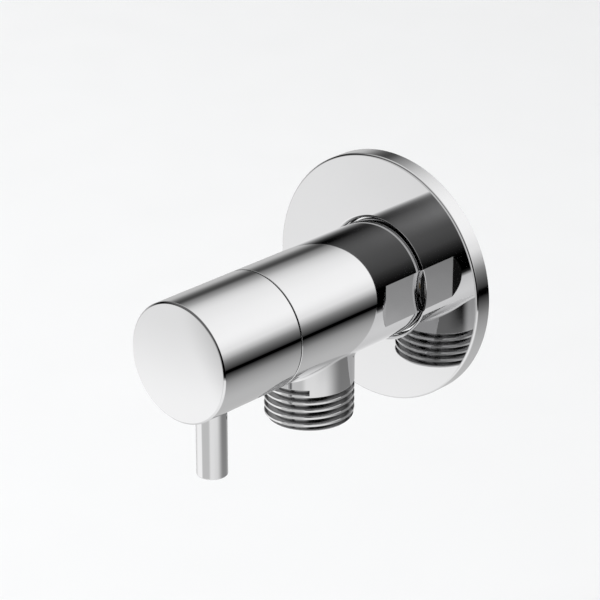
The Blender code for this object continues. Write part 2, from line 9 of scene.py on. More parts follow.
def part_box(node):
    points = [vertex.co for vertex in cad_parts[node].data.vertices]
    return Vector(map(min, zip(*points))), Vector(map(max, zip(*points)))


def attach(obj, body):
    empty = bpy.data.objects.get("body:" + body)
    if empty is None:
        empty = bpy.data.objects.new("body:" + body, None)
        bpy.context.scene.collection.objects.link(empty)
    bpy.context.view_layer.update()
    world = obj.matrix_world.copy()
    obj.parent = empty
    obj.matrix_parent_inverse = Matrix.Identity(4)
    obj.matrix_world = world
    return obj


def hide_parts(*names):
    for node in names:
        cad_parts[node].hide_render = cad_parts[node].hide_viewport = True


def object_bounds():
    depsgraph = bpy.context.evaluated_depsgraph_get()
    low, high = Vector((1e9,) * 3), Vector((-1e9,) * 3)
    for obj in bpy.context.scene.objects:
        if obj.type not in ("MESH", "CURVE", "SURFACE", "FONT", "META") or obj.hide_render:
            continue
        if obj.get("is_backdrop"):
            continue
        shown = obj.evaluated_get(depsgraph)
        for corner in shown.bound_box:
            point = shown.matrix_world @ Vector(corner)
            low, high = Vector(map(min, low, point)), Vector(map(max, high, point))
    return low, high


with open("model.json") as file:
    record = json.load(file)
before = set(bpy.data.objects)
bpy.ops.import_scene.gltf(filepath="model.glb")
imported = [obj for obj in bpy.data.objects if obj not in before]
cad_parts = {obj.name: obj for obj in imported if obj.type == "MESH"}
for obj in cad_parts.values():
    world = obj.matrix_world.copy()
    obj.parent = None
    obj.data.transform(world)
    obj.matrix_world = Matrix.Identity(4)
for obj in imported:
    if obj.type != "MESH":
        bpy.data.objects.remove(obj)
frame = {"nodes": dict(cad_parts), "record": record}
CAD_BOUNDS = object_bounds()

bl_info = {
    "name": "Angle Stop Valve",
    "version": (1, 0, 0),
    "blender": (4, 5, 0),
    "location": "3D View > Sidebar > Angle Valve",
    "description": "Models and finishes a quarter-turn angle stop valve with its cover plate and lever",
    "category": "Object",
}

# ------------------------------------------------------------------ sizes, in metres
PLATE_LOW, PLATE_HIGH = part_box("wall_flange")
BODY_LOW, BODY_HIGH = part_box("valve_body")
KNOB_LOW, KNOB_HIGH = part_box("handle_knob")
LEVER_LOW, LEVER_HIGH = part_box("lever_pin")
STUD_TOP = LEVER_HIGH.z
LEVER_AXIS_Y = (LEVER_LOW.y + LEVER_HIGH.y) / 2
MOUNTS = {mount["name"]: mount["pos_m"] for mount in frame["record"]["mounts"]}
OUTLET_Y = MOUNTS["outlet_end"][1]
WALL_SEAT = MOUNTS["wall_face"][1]

ALONG_Y = Vector((0, 1, 0))
ALONG_Z = Vector((0, 0, 1))
CENTRE = Vector((0, 0, 0))
OUTLET_AXIS = Vector((0, OUTLET_Y, 0))
LEVER_AXIS = Vector((0, LEVER_AXIS_Y, 0))

FINE = 256            # segments round a large mirror surface
MEDIUM = 128          # segments round the neck, lever and threads
COARSE = 96           # segments round bores
SMOOTH_ANGLE = math.radians(17)
SAME_PLACE = 2e-6     # how near an edge lies to the station it is picked by
SPARE = 0.001         # how far a cutting tool runs past the faces that it cuts

BODY_REAR = -0.0012
REAR_CHAMFER = 0.0004
SEAM_EDGE = 0.00015   # rounding of both edges of the joint between barrel and knob
PITCH = 0.001814      # half inch parallel pipe thread, 14 turns to the inch
THREAD_RADIUS = 0.01045
THREAD_TOP = -0.0163
THREAD_START = math.radians(-48)
THREAD_RELIEF = 0.00924
INLET_THREAD_REAR = -0.0004
GROOVE_FLOOR = 0.0085   # every thread groove lies outside this radius
CREST_EDGE = 0.00006    # how far below the crest a groove's dull plating with painted shade begins
OUTLET_BORE = 0.0065
OUTLET_BORE_TOP = -0.005
MOUTH_CHAMFER = 0.0003
INLET_BORE = 0.0055
STRAINER_BORE = 0.0070
STRAINER_STEP = 0.0090
SHANK_BARE = 0.0072     # bare brass inside this radius in the shank
CHAMBER_RADIUS = 0.0100
CHAMBER_SEAT = -0.0210
HEADWORK_SEAT = -0.0380
HEADWORK_BORE = 0.0105
RECESS_RADIUS = 0.0120
RECESS_DEPTH = 0.0018
BARE_RADIUS = 0.01201   # just outside the recess
BARE_FLOOR = -0.0122    # lowest bare face of the barrel's bores

GAP = 0.0003            # play between lever and socket
KNOB_WEB = -0.0567
KNOB_HUB = 0.0073
KNOB_HUB_END = -0.0676
SOCKET_FLOOR = -0.0128
LEVER_SHOULDER = -0.0131
STUD_CHAMFER = 0.0003

# the third and fourth slots carry painted shade: darkened thread grooves and a near-black joint
PLATED, BARE, DULL_SHADED, GAP_SHADE = range(4)    # material slots of the valve's body


def length(name, default, description, **more):
    """A size of the valve, shown in the sidebar."""
    return bpy.props.FloatProperty(name=name, default=default, description=description, min=0.0,
                                   subtype="DISTANCE", unit="LENGTH", precision=5, **more)


def colour(name, default, description):
    """A finish's base colour, shown in the sidebar."""
    return bpy.props.FloatVectorProperty(name=name, default=default, description=description, size=3,
                                         min=0.0, max=1.0, subtype="COLOR")


class CoverPlateSettings(bpy.types.PropertyGroup):
    radius: length("Radius", PLATE_HIGH.x, "Outside radius of the cover plate")
    depth: length("Depth", WALL_SEAT - PLATE_LOW.y, "How far the plate stands off the wall")
    skin: length("Skin", 0.0014, "Thickness of the plate's face")
    rim: length("Rim", 0.0015, "Thickness of the plate's rim")
    edge: length("Edge rounding", 0.00056, "Rounding of the plate's front edge")
    hole: length("Hole radius", 0.01445, "Radius of the hole that the barrel passes through")
    lip: length("Lip rounding", 0.0008, "Rounding of the hole's front edge")
    hub: length("Hub radius", 0.0176, "Outside radius of the ring behind the hole")


class BodySettings(bpy.types.PropertyGroup):
    radius: length("Barrel radius", KNOB_HIGH.x, "Radius of the barrel, the same as the knob's")
    flat_offset: length("Flat offset", 0.01305, "Half the width across the spanner flats")
    flat_length: length("Flat length", 0.0154, "Length of a spanner flat from the barrel's rear end")
    ramp_slope: bpy.props.FloatProperty(name="Ramp slope", default=2.32, min=0.1,
                                        description="Run-out of a flat for each unit of its rise")
    fillet: length("Neck fillet", 0.0013, "Radius of the blend between barrel and outlet neck")
    thread_depth: length("Thread depth", 0.00116, "Depth of the thread's groove")
    crest: bpy.props.FloatProperty(name="Crest share", default=0.30, min=0.05, max=0.6, subtype="FACTOR",
                                   description="Share of the thread's pitch that its crest takes")
    root: bpy.props.FloatProperty(name="Root share", default=0.14, min=0.02, max=0.5, subtype="FACTOR",
                                  description="Share of the thread's pitch that its root takes")


class HandleSettings(bpy.types.PropertyGroup):
    chamfer: length("Knob chamfer", 0.0004, "Chamfer round the knob's face")
    dome: length("Knob dome", 0.0005, "Rise of the knob's face at its centre")
    skirt: length("Skirt bore", 0.0122, "Radius of the knob's hollow rear")
    lever_edge: length("Lever edge", 0.0003, "Rounding of the lever's lower end")
    stud: length("Stud radius", 0.0025, "Radius of the lever's stud inside the knob")


class FinishSettings(bpy.types.PropertyGroup):
    chrome: colour("Chrome", (0.70, 0.70, 0.705), "Bright chrome plating")
    brass: colour("Brass", (0.70, 0.50, 0.22), "Bare machined brass")
    stainless: colour("Stainless", (0.58, 0.57, 0.55), "Stainless steel")
    rubber: colour("Rubber", (0.016, 0.016, 0.017), "Black sealing rubber")
    ceramic: colour("Ceramic", (0.86, 0.85, 0.81), "Lapped alumina")
    plastic: colour("Plastic", (0.82, 0.82, 0.79), "White moulded plastic")


class StudioSettings(bpy.types.PropertyGroup):
    backdrop: colour("Backdrop", (0.905, 0.912, 0.918), "Pale backdrop behind the floor")
    floor_drop: length("Floor drop", 0.10, "Height of the outlet's end above the floor")
    sky_gain: bpy.props.FloatProperty(name="Studio gain", default=1.3, min=0.0,
                                      description="Brightness of the soft panels that the chrome mirrors")
    key_power: bpy.props.FloatProperty(name="Key light", default=55.0, min=0.0, unit="POWER",
                                       description="Power of the soft overhead light")


class AngleValveSettings(bpy.types.PropertyGroup):
    plate: bpy.props.PointerProperty(type=CoverPlateSettings, name="Cover plate")
    body: bpy.props.PointerProperty(type=BodySettings, name="Body")
    handle: bpy.props.PointerProperty(type=HandleSettings, name="Handle")
    finish: bpy.props.PointerProperty(type=FinishSettings, name="Finishes")
    studio: bpy.props.PointerProperty(type=StudioSettings, name="Studio")


def settings():
    return bpy.context.scene.angle_valve


# ------------------------------------------------------------------ modelling by hand
def deselect():
    if bpy.context.object and bpy.context.object.mode != "OBJECT":
        bpy.ops.object.mode_set(mode="OBJECT")
    bpy.ops.object.select_all(action="DESELECT")


def hold(piece):
    """Makes a piece the only selected object and the active one."""
    deselect()
    piece.select_set(True)
    bpy.context.view_layer.objects.active = piece


def edit(piece):
    hold(piece)
    bpy.ops.object.mode_set(mode="EDIT")


def done(piece):
    """Leaves edit mode with every face turned outwards."""
    bpy.ops.mesh.select_all(action="SELECT")
    bpy.ops.mesh.normals_make_consistent(inside=False)
    bpy.ops.object.mode_set(mode="OBJECT")
    return piece


def pick_edges(piece, wanted):
    """Selects the edges of the piece in edit mode for which wanted(edge) holds."""
    bpy.ops.mesh.select_mode(type="EDGE")
    bpy.ops.mesh.select_all(action="DESELECT")
    mesh = bmesh.from_edit_mesh(piece.data)
    for line in mesh.edges:
        if wanted(line):
            line.select_set(True)
    bmesh.update_edit_mesh(piece.data)


def turned(name, stations, axis=ALONG_Y, centre=CENTRE, segments=FINE, closed=False):
    """Pulls a circle along stations of (radius, place), as on a lathe.

    A closed profile is bridged back to its first station; an open one is capped at both ends."""
    deselect()
    radius, place = stations[0]
    upright = (math.pi / 2, 0, 0) if axis is ALONG_Y else (0, 0, 0)
    bpy.ops.mesh.primitive_circle_add(vertices=segments, radius=radius, fill_type="NOTHING",
                                      location=centre + axis * place, rotation=upright)
    piece = bpy.context.object
    piece.name = piece.data.name = name
    bpy.ops.object.transform_apply(location=True, rotation=True, scale=True)
    bpy.ops.object.mode_set(mode="EDIT")
    bpy.ops.mesh.select_all(action="SELECT")
    for next_radius, next_place in stations[1:]:
        bpy.ops.mesh.extrude_region_move(TRANSFORM_OT_translate={"value": axis * (next_place - place)})
        grow = next_radius / radius
        stretch = Vector((grow, grow, grow)) + axis * (1 - grow)
        bpy.ops.transform.resize(value=stretch, center_override=centre + axis * next_place)
        radius, place = next_radius, next_place
    if closed:
        pick_edges(piece, lambda line: line.is_boundary)
        bpy.ops.mesh.bridge_edge_loops()
    else:
        bpy.ops.mesh.select_all(action="SELECT")
        bpy.ops.mesh.fill_holes(sides=0)
    return done(piece)


def on_ring(radius, place, axis=ALONG_Y, centre=CENTRE):
    """A test for the edges of the ring with this radius at this place along the axis."""
    def wanted(line):
        for vert in line.verts:
            offset = vert.co - centre
            out = offset - axis * offset.dot(axis)
            if abs(offset.dot(axis) - place) > SAME_PLACE or abs(out.length - radius) > SAME_PLACE:
                return False
        return True
    return wanted


def round_off(piece, rings, width, steps):
    """Bevels whole rings of edges."""
    edit(piece)
    pick_edges(piece, lambda line: any(ring(line) for ring in rings))
    bpy.ops.mesh.bevel(offset=width, offset_type="OFFSET", segments=steps, profile=0.5, affect="EDGES")
    return done(piece)


def cut(piece, tool, operation="DIFFERENCE"):
    """Joins or cuts with a tool body, applies the modifier and removes the tool."""
    hold(piece)
    step = piece.modifiers.new(tool.name, "BOOLEAN")
    step.operation = operation
    step.solver = "EXACT"
    step.object = tool
    bpy.ops.object.modifier_apply(modifier=step.name)
    bpy.data.objects.remove(tool, do_unlink=True)


def block(name, low, high):
    """A box between two corners."""
    deselect()
    low, high = Vector(low), Vector(high)
    bpy.ops.mesh.primitive_cube_add(size=1, location=(low + high) / 2, scale=high - low)
    piece = bpy.context.object
    piece.name = piece.data.name = name
    bpy.ops.object.transform_apply(location=True, rotation=True, scale=True)
    return piece


def groove_tool(name, outline, start, top, turns):
    """A helical cutter: an outline of (radius, drop) points swept up a right-hand screw about +Z."""
    deselect()
    bpy.ops.mesh.primitive_circle_add(vertices=len(outline), radius=0.01, fill_type="NOTHING")
    tool = bpy.context.object
    tool.name = tool.data.name = name
    for vert, (radius, drop) in zip(tool.data.vertices, outline):
        vert.co = (radius * math.cos(start), radius * math.sin(start), top - turns * PITCH - drop)
    screw = tool.modifiers.new("Screw", "SCREW")
    screw.axis = "Z"
    screw.angle = math.tau
    screw.screw_offset = PITCH
    screw.iterations = turns
    screw.steps = screw.render_steps = MEDIUM
    screw.use_merge_vertices = False
    bpy.ops.object.modifier_apply(modifier=screw.name)
    bpy.ops.object.mode_set(mode="EDIT")
    bpy.ops.mesh.select_all(action="SELECT")
    bpy.ops.mesh.fill_holes(sides=0)
    return done(tool)


def groove_outline(body):
    """The thread's groove below one crest, with a small radius at its root and at the crest's edges."""
    flank = (1 - body.crest - body.root) / 2 * PITCH
    root_radius = THREAD_RADIUS - body.thread_depth
    slope = flank / body.thread_depth
    clear = 0.0003
    ease = 0.00007
    width = (1 - body.crest) * PITCH
    upper = [(THREAD_RADIUS + clear, -slope * clear - ease * 2),
             (THREAD_RADIUS, -ease * 1.1),
             (THREAD_RADIUS - ease * 0.35, -ease * 0.2),
             (THREAD_RADIUS - ease * 1.1, slope * ease * 1.1),
             (root_radius + ease, flank - slope * ease),
             (root_radius + ease * 0.3, flank + ease * 0.4),
             (root_radius, flank + ease * 1.6)]
    lower = [(radius, width - drop) for radius, drop in reversed(upper)]
    return upper + lower


# ------------------------------------------------------------------ exact shading of mirror surfaces
def round_surface(radius, axis=ALONG_Y, centre=CENTRE):
    """A cylinder: holds(face) says if a face lies on it, normal(point, face) gives its true normal."""
    def outward(point):
        offset = point - centre
        return offset - axis * offset.dot(axis)

    def holds(face):
        out = outward(face.center)
        return (abs(out.length - radius) < 3e-5 and abs(face.normal.dot(axis)) < 0.02
                and abs(face.normal.dot(out.normalized())) > 0.999)

    def normal(point, face):
        out = outward(point).normalized()
        return out if out.dot(face.normal) > 0 else -out

    return holds, normal


def flat_surface(direction, offset):
    """A plane face at this offset along this direction."""
    def holds(face):
        return abs(face.center.dot(direction) - offset) < 1e-6 and abs(face.normal.dot(direction)) > 0.9999

    def normal(point, face):
        return direction if direction.dot(face.normal) > 0 else -direction

    return holds, normal


def dome_surface(centre, radius):
    """A ball's surface that faces away from its centre."""
    def holds(face):
        out = face.center - centre
        return abs(out.length - radius) < 1e-5 and face.normal.dot(out.normalized()) > 0.9995

    def normal(point, face):
        return (point - centre).normalized()

    return holds, normal


def polish(piece, surfaces):
    """Shades the piece smooth, with true normals where a face lies on one of the surfaces."""
    hold(piece)
    bpy.ops.object.shade_smooth_by_angle(angle=SMOOTH_ANGLE)
    mesh = piece.data
    normals = [corner.vector.copy() for corner in mesh.corner_normals]
    for face in mesh.polygons:
        for holds, normal in surfaces:
            if holds(face):
                for corner in face.loop_indices:
                    normals[corner] = normal(mesh.vertices[mesh.loops[corner].vertex_index].co, face)
                break
    mesh.normals_split_custom_set(normals)


def hand_over(piece, body, node, slot, *finishes):
    """Gives a finished piece its materials and puts it in the place of its CAD node."""
    for finish in finishes:
        piece.data.materials.append(finish)
    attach(piece, body)
    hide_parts(node)


# ------------------------------------------------------------------ finishes
class Finish:
    """A node material that is built up by wiring small nodes to one shader."""

    def __init__(self, name, base, roughness, metallic=0.0):
        self.material = bpy.data.materials.new(name)
        self.material.use_nodes = True
        self.nodes = self.material.node_tree.nodes
        self.links = self.material.node_tree.links
        self.shader = self.nodes["Principled BSDF"]
        self.base = (*base, 1.0)
        self.shader.inputs["Base Color"].default_value = self.base
        self.shader.inputs["Roughness"].default_value = roughness
        self.shader.inputs["Metallic"].default_value = metallic
        self.place = self.nodes.new("ShaderNodeTexCoord").outputs["Object"]

    def wire(self, value, socket):
        if isinstance(value, bpy.types.NodeSocket):
            self.links.new(value, socket)
        else:
            socket.default_value = value

    def math(self, operation, first, second=0.0, third=0.0):
        node = self.nodes.new("ShaderNodeMath")
        node.operation = operation
        for value, socket in zip((first, second, third), node.inputs):
            self.wire(value, socket)
        return node.outputs[0]

    def stretched(self, scale):
        node = self.nodes.new("ShaderNodeMapping")
        node.inputs["Scale"].default_value = scale
        self.links.new(self.place, node.inputs["Vector"])
        return node.outputs[0]

    def noise(self, scale, detail=3.0, place=None):
        node = self.nodes.new("ShaderNodeTexNoise")
        node.inputs["Scale"].default_value = scale
        node.inputs["Detail"].default_value = detail
        self.links.new(place or self.place, node.inputs["Vector"])
        return node.outputs["Fac"]

    def spread(self, value, low, high, start=0.3, end=0.7):
        node = self.nodes.new("ShaderNodeMapRange")
        for name, number in (("From Min", start), ("From Max", end), ("To Min", low), ("To Max", high)):
            node.inputs[name].default_value = number
        self.links.new(value, node.inputs["Value"])
        return node.outputs[0]

    def shades(self, value, darker, lighter):
        """Mixes the base colour's darker and lighter shade."""
        node = self.nodes.new("ShaderNodeMix")
        node.data_type = "RGBA"
        self.links.new(value, node.inputs["Factor"])
        for socket, gain in ((node.inputs[6], darker), (node.inputs[7], lighter)):
            socket.default_value = (*(min(1.0, part * gain) for part in self.base[:3]), 1.0)
        self.links.new(node.outputs[2], self.shader.inputs["Base Color"])

    def rough(self, value):
        self.links.new(value, self.shader.inputs["Roughness"])

    def relief(self, height, distance, onto=None):
        node = self.nodes.new("ShaderNodeBump")
        node.inputs["Distance"].default_value = distance
        self.links.new(height, node.inputs["Height"])
        if onto:
            self.links.new(onto, node.inputs["Normal"])
        return node.outputs[0]

    def bump(self, value):
        self.links.new(value, self.shader.inputs["Normal"])

    def part(self, axis):
        """One coordinate, or the distance from the barrel's axis for RING."""
        split = self.nodes.new("ShaderNodeSeparateXYZ")
        self.links.new(self.place, split.inputs[0])
        if axis != "RING":
            return split.outputs[axis]
        across = self.math("MULTIPLY", split.outputs["X"], split.outputs["X"])
        square = self.math("MULTIPLY_ADD", split.outputs["Z"], split.outputs["Z"], across)
        return self.math("SQRT", square)

    def band(self, axis, place, width):
        """1 on an edge at this place and 0 beyond its width, broken up by noise."""
        away = self.math("ABSOLUTE", self.math("SUBTRACT", self.part(axis), place))
        near = self.spread(away, 1.0, 0.0, 0.0, width)
        return self.math("MULTIPLY", near, self.spread(self.noise(1800.0), 0.2, 1.0))


def chrome(name, edges, ripple=1.0):
    """Bright chrome over buffed brass: a faint ripple, polishing haze, and light wear along edges."""
    made = Finish(name, settings().finish.chrome, 0.03, 1.0)
    made.shades(made.noise(60.0, 2.0), 0.985, 1.015)
    haze = made.spread(made.noise(140.0, 6.0), 0.016, 0.040)
    specks = made.spread(made.noise(3200.0, 2.0), 0.0, 0.02, 0.66, 0.78)
    rough = made.math("ADD", haze, specks)
    for axis, place, width in edges:
        rough = made.math("MULTIPLY_ADD", made.band(axis, place, width), 0.07, rough)
    made.rough(rough)
    wave = made.relief(made.noise(170.0, 1.0), 0.0000035 * ripple)
    grain = made.stretched((1.0, 0.06, 1.0))
    made.bump(made.relief(made.noise(5200.0, 2.0, grain), 0.00000006, wave))
    return made.material


def satin_chrome(name):
    """Thin, unbuffed plating on the faces that the wall hides."""
    made = Finish(name, settings().finish.chrome, 0.25, 1.0)
    made.shades(made.noise(90.0, 4.0), 0.80, 0.95)
    made.rough(made.spread(made.noise(700.0, 5.0), 0.16, 0.34))
    made.bump(made.relief(made.noise(2600.0, 3.0), 0.000012))
    return made.material


def thread_chrome(name):
    """Thin, dull plating down in a thread's grooves, where the buffing wheel doesn't reach, with painted
    shade: its colour is darkened for the shade down in the grooves.
    """
    made = Finish(name, settings().finish.chrome, 0.12, 1.0)
    # darkened base colour: painted shade in the grooves
    made.shades(made.noise(400.0, 4.0), 0.52, 0.66)
    made.rough(made.spread(made.noise(900.0, 5.0), 0.10, 0.22))
    made.bump(made.relief(made.noise(2600.0, 3.0), 0.000003))
    return made.material


def painted_gap_shade(name):
    """Painted shade: near-black colour on the faces inside the joint between barrel and knob, standing in
    for the shade down in the gap.
    """
    made = Finish(name, (0.012, 0.012, 0.013), 0.5)
    # noise that mottles the painted shade's tone and its roughness
    shade_noise = made.noise(800.0, 4.0)
    made.shades(shade_noise, 0.6, 1.3)
    made.rough(made.spread(shade_noise, 0.42, 0.62))
    made.bump(made.relief(made.noise(3000.0, 3.0), 0.000004))
    return made.material


def machined(name, base, low, high, axis="RING"):
    """Bare turned metal with fine tool rings and a little tarnish."""
    made = Finish(name, base, 0.3, 1.0)
    made.shades(made.noise(220.0, 5.0), 0.78, 1.08)
    rings = made.math("SINE", made.math("MULTIPLY", made.part(axis), 42000.0))
    wander = made.noise(900.0, 4.0)
    made.rough(made.spread(wander, low, high))
    fine = made.relief(rings, 0.0000012)
    made.bump(made.relief(wander, 0.000006, fine))
    return made.material


def sealing_rubber(name):
    """Moulded black rubber with a faint bloom."""
    made = Finish(name, settings().finish.rubber, 0.6)
    bloom = made.noise(500.0, 5.0)
    made.shades(bloom, 0.8, 1.9)
    made.rough(made.spread(bloom, 0.48, 0.70))
    made.bump(made.relief(made.noise(4200.0, 3.0), 0.000012))
    return made.material


def lapped_ceramic(name):
    """Alumina: an even off-white with a very fine grain."""
    made = Finish(name, settings().finish.ceramic, 0.2)
    made.shades(made.noise(1500.0, 4.0), 0.94, 1.04)
    made.rough(made.spread(made.noise(380.0, 4.0), 0.12, 0.26))
    made.bump(made.relief(made.noise(6000.0, 2.0), 0.000003))
    return made.material


def moulded_plastic(name):
    """Slightly waxy acetal with a soft mould texture."""
    made = Finish(name, settings().finish.plastic, 0.4)
    made.shades(made.noise(300.0, 3.0), 0.96, 1.03)
    made.rough(made.spread(made.noise(900.0, 4.0), 0.34, 0.50))
    made.bump(made.relief(made.noise(3000.0, 3.0), 0.000008))
    return made.material


# ------------------------------------------------------------------ pieces
class ANGLEVALVE_OT_cover_plate(bpy.types.Operator):
    """Turn the chrome cover plate with its rolled rim, hub and seal groove"""
    bl_idname = "anglevalve.cover_plate"
    bl_label = "Cover Plate"

    def execute(self, context):
        plate = settings().plate
        front = WALL_SEAT - plate.depth
        back_of_face = front + plate.skin
        groove, groove_front, groove_rear, hub_rear = 0.0159, -0.00245, -0.00105, -0.0006
        inside = plate.radius - plate.rim
        piece = turned("cover_plate", [
            (plate.radius, WALL_SEAT), (plate.radius, front), (plate.hole, front),
            (plate.hole, groove_front), (groove, groove_front), (groove, groove_rear),
            (plate.hole, groove_rear), (plate.hole, hub_rear), (plate.hub, hub_rear),
            (plate.hub, back_of_face), (inside, back_of_face), (inside, WALL_SEAT),
        ], closed=True)
        round_off(piece, [on_ring(plate.radius, front)], plate.edge, 10)
        round_off(piece, [on_ring(plate.hole, front)], plate.lip, 8)
        round_off(piece, [on_ring(plate.radius, WALL_SEAT), on_ring(inside, WALL_SEAT),
                          on_ring(inside, back_of_face), on_ring(plate.hub, back_of_face),
                          on_ring(plate.hub, hub_rear), on_ring(plate.hole, hub_rear)], 0.00012, 3)
        polish(piece, [flat_surface(ALONG_Y, front), flat_surface(ALONG_Y, back_of_face),
                       round_surface(plate.radius), round_surface(plate.hole)])
        bright = chrome("plate_chrome", [("RING", plate.radius, 0.0010), ("RING", plate.hole, 0.0007)])
        hand_over(piece, "plate", "wall_flange", "chrome", bright, satin_chrome("plate_back"))
        for face in piece.data.polygons:
            away = Vector((face.center.x, 0, face.center.z)).length
            hidden = face.center.y > back_of_face - SAME_PLACE and away < inside + SAME_PLACE
            face.material_index = int(hidden)
        return {"FINISHED"}


def neck_form(body):
    """The outlet's branch: a plain neck, then a right-hand thread down to a chamfered end."""
    end = BODY_LOW.z
    end_radius = THREAD_RADIUS - body.thread_depth * 0.7
    chamfer = THREAD_RADIUS - end_radius
    neck = turned("outlet_neck", [
        (THREAD_RADIUS, -body.radius / 2), (THREAD_RADIUS, end + chamfer), (end_radius, end),
    ], ALONG_Z, OUTLET_AXIS, MEDIUM)
    turns = math.ceil((THREAD_TOP - end) / PITCH) + 1
    groove = groove_tool("outlet_groove", groove_outline(body), THREAD_START, THREAD_TOP, turns)
    groove.data.transform(Matrix.Translation(OUTLET_AXIS))
    cut(neck, groove)
    return neck


def shank_form(body):
    """The inlet's threaded shank, which the wall fitting takes."""
    rear = BODY_HIGH.y
    end_radius = THREAD_RADIUS - body.thread_depth * 0.7
    chamfer = THREAD_RADIUS - end_radius
    lead = THREAD_RADIUS - THREAD_RELIEF
    shank = turned("inlet_shank", [
        (THREAD_RELIEF, BODY_REAR - 2 * SPARE), (THREAD_RELIEF, INLET_THREAD_REAR),
        (THREAD_RADIUS, INLET_THREAD_REAR + lead / 2), (THREAD_RADIUS, rear - chamfer), (end_radius, rear),
    ], segments=MEDIUM)
    turns = math.ceil((rear - BODY_REAR) / PITCH) + 2
    groove = groove_tool("inlet_groove", groove_outline(body), math.pi / MEDIUM, SPARE * 1.5, turns)
    groove.data.transform(Matrix.Rotation(math.pi / 2, 4, "X"))
    cut(shank, groove)
    return shank


def fillet_form(body):
    """The rolled blend where the neck leaves the barrel, as a closed ring.

    A bevel can't follow the saddle that two round bodies meet in, so the ring is laid out point
    by point: a ball of the fillet's radius rolls round the neck, touching it and the barrel. Its arc
    runs on a little into both."""
    bm = bmesh.new()
    steps = 10
    overrun = 0.05
    inward = 0.0012
    reach = THREAD_RADIUS + body.fillet
    columns = []
    for column in range(MEDIUM):
        turn = math.tau * column / MEDIUM
        out = Vector((math.cos(turn), math.sin(turn), 0))
        ball = out * reach
        ball.z = -math.sqrt((body.radius + body.fillet) ** 2 - ball.x ** 2)
        across = Vector((ball.x, 0, ball.z)).normalized()
        sweep = out.angle(across)
        sideways = (across - out * across.dot(out)).normalized()
        points = []
        for step in range(steps + 1):
            angle = sweep * (step / steps * (1 + 2 * overrun) - overrun)
            points.append(ball - (out * math.cos(angle) + sideways * math.sin(angle)) * body.fillet)
        buried = body.fillet + inward
        points += [ball - across * buried, ball - out * buried + ALONG_Z * inward * 2, ball - out * buried]
        columns.append([bm.verts.new(point + OUTLET_AXIS) for point in points])
    for here, there in zip(columns, columns[1:] + columns[:1]):
        for index in range(len(here)):
            after = (index + 1) % len(here)
            bm.faces.new((here[index], here[after], there[after], there[index]))
    bmesh.ops.recalc_face_normals(bm, faces=bm.faces)
    mesh = bpy.data.meshes.new("neck_fillet")
    bm.to_mesh(mesh)
    bm.free()
    ring = bpy.data.objects.new("neck_fillet", mesh)
    bpy.context.scene.collection.objects.link(ring)
    return ring


def flat_cutter(body, side):
    """Takes off one spanner flat, with a ramp at its front end."""
    high = body.radius + SPARE
    front = BODY_REAR - body.flat_length
    run_out = (high - body.flat_offset) * body.ramp_slope
    low_x, high_x = sorted((side * body.flat_offset, side * high))
    tool = block("flat_cutter", (low_x, front - run_out, -body.radius / 2),
                 (high_x, BODY_REAR + SPARE, body.radius / 2))
    edit(tool)
    bpy.ops.mesh.select_all(action="SELECT")
    bpy.ops.mesh.bisect(plane_co=(side * body.flat_offset, front, 0),
                        plane_no=(-side, -1 / body.ramp_slope, 0),
                        use_fill=True, clear_outer=True)
    return done(tool)


